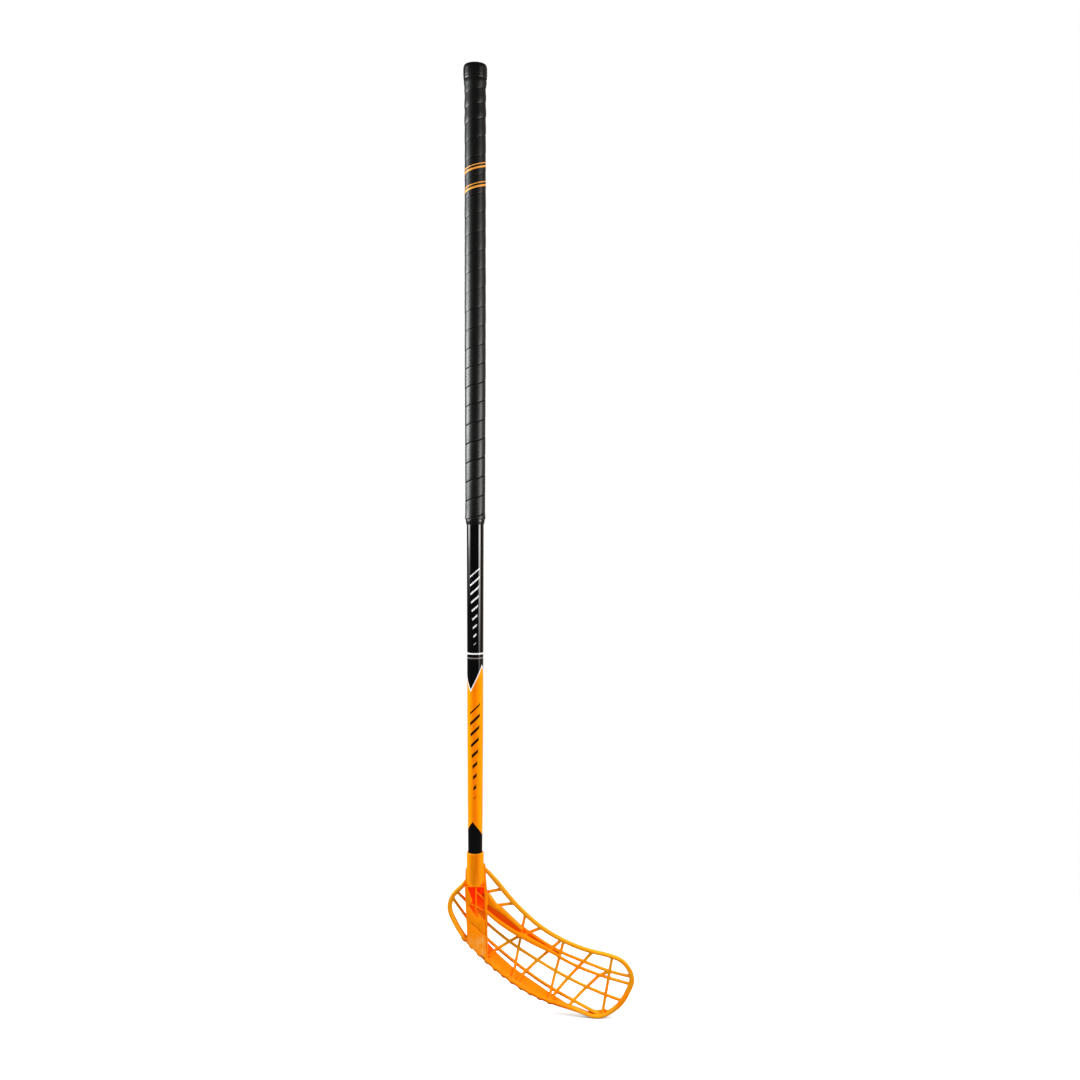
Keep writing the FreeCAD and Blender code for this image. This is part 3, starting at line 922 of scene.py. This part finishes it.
def paintedRibShade(tree, colour, place, normal, look):
    # painted shade on the sides of the ribs, most where they look down
    sideways = ramp(tree, calc(tree, "ABSOLUTE", normal["Y"]), 0.25, 0.85, 1.0, 0.0)
    downward = ramp(tree, normal["Z"], -0.5, 0.45, 1.0, 0.0)
    offSleeve = ramp(tree, place["radius"], *look["sideShadeFrom"])
    sideShadeAmount = times(tree, sideways, downward, offSleeve, look["sideShadeAmount"])
    colour = mixColour(tree, sideShadeAmount, colour, look["shaded"])
    # and painted shade along the lower edges
    hem = ramp(tree, attributeValue(tree, "hem"), 0.1, 0.95)
    hemColour = mixColour(tree, inverse(tree, place["offBand"]), look["hem"], look["bandHemColour"])
    less = look["hemShadeAmount"] - look["bandHemShadeAmount"]
    strength = calc(tree, "MULTIPLY_ADD", place["offBand"], less, look["bandHemShadeAmount"])
    return mixColour(tree, times(tree, offSleeve, strength, hem), colour, hemColour)


def makeBladePlastic():
    look = bladeLook
    material, tree, shader = newMaterial(
        "bladePlastic", Subsurface_Weight=0.15, Subsurface_Radius=(1.0, 0.22, 0.03),
        Subsurface_Scale=0.0018, Specular_IOR_Level=0.07, Emission_Strength=0.3)
    grain = placeGroup(tree, mouldGrain, **{"Grain Scale": 1200.0, "Drift Scale": 22.0})
    point = objectPoint(tree)
    place = bladePlace(tree, point, look)
    normal = axes(tree, tree.nodes.new("ShaderNodeTexCoord").outputs["Normal"])
    # light gets through the thin walls, so they are yellower
    drift = ramp(tree, grain["Drift"], 0.3, 0.75)
    pale = times(tree, place["thin"], look["thinYellow"])
    pale = calc(tree, "MULTIPLY_ADD", drift, look["driftYellow"], pale)
    colour = mixColour(tree, pale, look["lit"], look["yellow"])
    colour = mixColour(tree, place["inBand"], colour, look["band"])
    colour = sleeveTubeAndShade(tree, colour, point, place, look)
    colour = rubsAndPaintedSheen(tree, colour, point, place, normal, look)
    deep, hollow = bladeHollows(tree, place, normal, look)
    colour = mixColour(tree, deep, colour, hollow)
    # painted shade in the creases and in the corners between parts
    crease = ramp(tree, attributeValue(tree, "crease"), *look["creaseFrom"])
    colour = mixColour(tree, crease, colour, look["crease"])
    colour = paintedRibShade(tree, colour, place, normal, look)
    feed(tree, shader["Base Color"], colour)
    # light that comes through the plastic into the hollows
    feed(tree, shader["Emission Color"], mixColour(tree, deep, (0.0, 0.0, 0.0, 1.0), hollow))
    marks = placeGroup(tree, handlingMarks, **{"Base Roughness": 0.22, "Smudge": 0.08, "Rubs": 0.05})
    feed(tree, shader["Roughness"], marks["Roughness"])
    bumpInto(tree, shader, grain["Height"], strength=0.08, distance=0.0002)
    return material


bladePiece = makeBlade()
dress(bladePiece, makeBladePlastic())
print("blade moulded:", len(bladePiece.data.polygons), "faces")


# screws in the neck

screwLook = {
    "dull": (0.42, 0.42, 0.43, 1.0),
    "bright": (0.62, 0.61, 0.59, 1.0),
    "turnScale": (300.0, 4000.0, 300.0),
}


def makeScrewSteel():
    look = screwLook
    material, tree, shader = newMaterial("screwSteel", Metallic=1.0)
    grain = placeGroup(tree, mouldGrain, **{"Grain Scale": 2500.0, "Drift Scale": 300.0})
    colour = mixColour(tree, grain["Drift"], look["dull"], look["bright"])
    feed(tree, shader["Base Color"], colour)
    marks = placeGroup(tree, handlingMarks, **{"Base Roughness": 0.26, "Smudge": 0.12, "Rubs": 0.1})
    feed(tree, shader["Roughness"], marks["Roughness"])
    turned = noise(tree, stretched(tree, objectPoint(tree), look["turnScale"]), 1.0, 2.0)
    bumpInto(tree, shader, turned, strength=0.1, distance=0.0001)
    return material


screwSteel = makeScrewSteel()
for screwName in ("blade_screw_upper", "blade_screw_lower"):
    dress(nodes[screwName], screwSteel)
print("screws finished")


# floor, light and camera

stageLook = {
    "floorRadius": 2.6,
    "floorMiddle": 0.08,
    "floorDrop": 0.0004,
    "floorSegments": 96,
    "fadeFrom": 0.35,
    "fadeTo": 1.1,
    "floorColour": (0.93, 0.93, 0.93, 1.0),
    "hiddenFromGloss": 0.97,     # reflections see little of the floor
    "hiddenFromBounce": 0.85,    # and it throws little light back
    "lightBelow": (0.14, 0.14, 0.14, 1.0),
    "lightAbove": (0.84, 0.84, 0.84, 1.0),
    "lightRise": (-0.7, 0.9),
    "gloss": (0.022, 0.022, 0.022, 1.0),
    "rearGlow": (0.34, 0.26, 0.21, 1.0),     # dim warm wall behind on the right, seen in reflections
    "rearWay": (0.62, 0.78, 0.0),
    "rearEdge": (0.6, 0.97),
}


def makeFloor():
    look = stageLook
    bottom = cadLow.z - look["floorDrop"]
    middle, radius, segments = look["floorMiddle"], look["floorRadius"], look["floorSegments"]
    points = [(middle, 0.0, bottom)]
    for i in range(segments):
        angle = 2 * math.pi * i / segments
        points.append((middle + radius * math.cos(angle), radius * math.sin(angle), bottom))
    faces = [(0, 1 + i, 1 + (i + 1) % segments) for i in range(segments)]
    mesh = bpy.data.meshes.new("paleFloor")
    mesh.from_pydata(points, [], faces)
    floor = bpy.data.objects.new("paleFloor", mesh)
    scene.collection.objects.link(floor)
    material, tree, shader = newMaterial(
        "paleFloor", Base_Color=look["floorColour"], Roughness=0.9, Specular_IOR_Level=0.1)
    far = tree.nodes.new("ShaderNodeVectorMath")
    far.operation = "LENGTH"
    feed(tree, far.inputs[0], stretched(tree, objectPoint(tree), (1.0, 1.0, 0.0)))
    fade = ramp(tree, far.outputs["Value"], look["fadeFrom"], look["fadeTo"], 1.0, 0.0)
    path = tree.nodes.new("ShaderNodeLightPath").outputs
    toGloss = calc(tree, "MULTIPLY_ADD", path["Is Glossy Ray"], -look["hiddenFromGloss"], 1.0)
    toBounce = calc(tree, "MULTIPLY_ADD", path["Is Diffuse Ray"], -look["hiddenFromBounce"], 1.0)
    feed(tree, shader["Alpha"], times(tree, fade, toGloss, toBounce))
    dress(floor, material)


def makeWorld():
    # white to the eye; as light it comes from above;
    # dim in reflections, so that the softboxes draw the highlights
    look = stageLook
    world = bpy.data.worlds.new("studio")
    scene.world = world
    world.use_nodes = True
    tree = world.node_tree
    way = tree.nodes.new("ShaderNodeTexCoord").outputs["Generated"]
    above = ramp(tree, axes(tree, way)["Z"], *look["lightRise"])
    light = mixColour(tree, above, look["lightBelow"], look["lightAbove"])
    rear = tree.nodes.new("ShaderNodeVectorMath")
    rear.operation = "DOT_PRODUCT"
    feed(tree, rear.inputs[0], way)
    rear.inputs[1].default_value = look["rearWay"]
    behind = ramp(tree, rear.outputs["Value"], *look["rearEdge"])
    gloss = mixColour(tree, behind, look["gloss"], look["rearGlow"])
    path = tree.nodes.new("ShaderNodeLightPath").outputs
    colour = mixColour(tree, path["Is Glossy Ray"], light, gloss)
    colour = mixColour(tree, path["Is Camera Ray"], colour, (1.0, 1.0, 1.0, 1.0))
    feed(tree, tree.nodes["Background"].inputs["Color"], colour)


softboxes = {
    # place is the middle of the box; levels are (height, share of the peak radiance)
    "leftBox": {
        "place": (-1.10, -0.01, 0.0), "aim": (0.0, -0.01, 0.0), "size": (0.67, 1.30),
        "peak": 26.0, "spread": 180, "tint": (0.97, 0.99, 1.0),
        "levels": [(-0.65, 0.0), (-0.61, 0.03), (-0.558, 0.1), (-0.533, 0.17), (-0.507, 0.32), (-0.481, 0.44),
                   (-0.437, 0.62), (-0.33, 0.76), (-0.206, 0.84), (0.008, 0.88), (0.08, 0.52), (0.179, 0.24),
                   (0.26, 0.14), (0.35, 0.095), (0.436, 0.07), (0.65, 0.045)],
    },
    "rightBox": {
        "place": (1.10, -0.49, -0.11), "aim": (0.0, 0.0, -0.11), "size": (0.56, 1.42),
        "peak": 15.5, "spread": 180, "tint": (1.0, 0.98, 0.94),
        "levels": [(-0.82, 0.07), (-0.75, 0.2), (-0.69, 0.38), (-0.62, 0.58), (-0.52, 1.0), (-0.44, 0.95),
                   (-0.2, 0.53), (0.02, 0.26), (0.2, 0.09), (0.378, 0.052), (0.467, 0.086), (0.6, 0.07)],
    },
    # gridded box over the blade
    "bladeBox": {
        "place": (0.72, -0.50, 0.55), "aim": (0.10, 0.0, -0.95), "size": (0.50, 0.50),
        "peak": 30.0, "spread": 30, "tint": (1.0, 0.99, 0.97),
        "levels": [(0.30, 1.0), (0.80, 1.0)],
    },
}


def makeSoftboxes():
    widestHalf = 1.5707    # just under a right angle
    for name, box in softboxes.items():
        wide, tall = box["size"]
        light = bpy.data.lights.new(name, "AREA")
        light.shape = "RECTANGLE"
        light.size, light.size_y = wide, tall
        light.spread = math.radians(box["spread"])
        # the middle of the box keeps its peak, whatever the spread
        half = min(light.spread / 2, widestHalf)
        light.energy = math.pi * wide * tall * box["peak"] * (1.0 - half / math.tan(half))
        light.color = box["tint"]
        light.use_nodes = True
        tree = light.node_tree
        up = axes(tree, tree.nodes.new("ShaderNodeNewGeometry").outputs["Parametric"])["Y"]
        falloff = tree.nodes.new("ShaderNodeValToRGB")
        stops = falloff.color_ramp.elements
        low = box["place"][2] - tall / 2
        while len(stops) < len(box["levels"]):
            stops.new(0.5)
        for stop, (height, level) in zip(stops, box["levels"]):
            stop.position = (height - low) / tall
            stop.color = (level, level, level, 1.0)
        feed(tree, falloff.inputs[0], up)
        feed(tree, tree.nodes["Emission"].inputs["Color"], falloff.outputs["Color"])
        lamp = bpy.data.objects.new(name, light)
        lamp.location = box["place"]
        way = Vector(box["aim"]) - Vector(box["place"])
        lamp.rotation_euler = way.to_track_quat("-Z", "Y").to_euler()
        lamp.visible_camera = False
        scene.collection.objects.link(lamp)


cameraLook = {"place": (0.07945, -1.44786, -0.37445), "lens": 39.333, "rise": -0.0574}


def makeCamera():
    view = bpy.data.cameras.new("frontView")
    view.sensor_width = 36.0
    view.lens = cameraLook["lens"]
    view.shift_y = cameraLook["rise"]
    camera = bpy.data.objects.new("frontView", view)
    camera.location = cameraLook["place"]
    camera.rotation_euler = (math.pi / 2, 0.0, 0.0)
    scene.collection.objects.link(camera)
    scene.camera = camera


makeFloor()
makeWorld()
makeSoftboxes()
makeCamera()
scene.view_settings.view_transform = "Standard"
print("stage set")
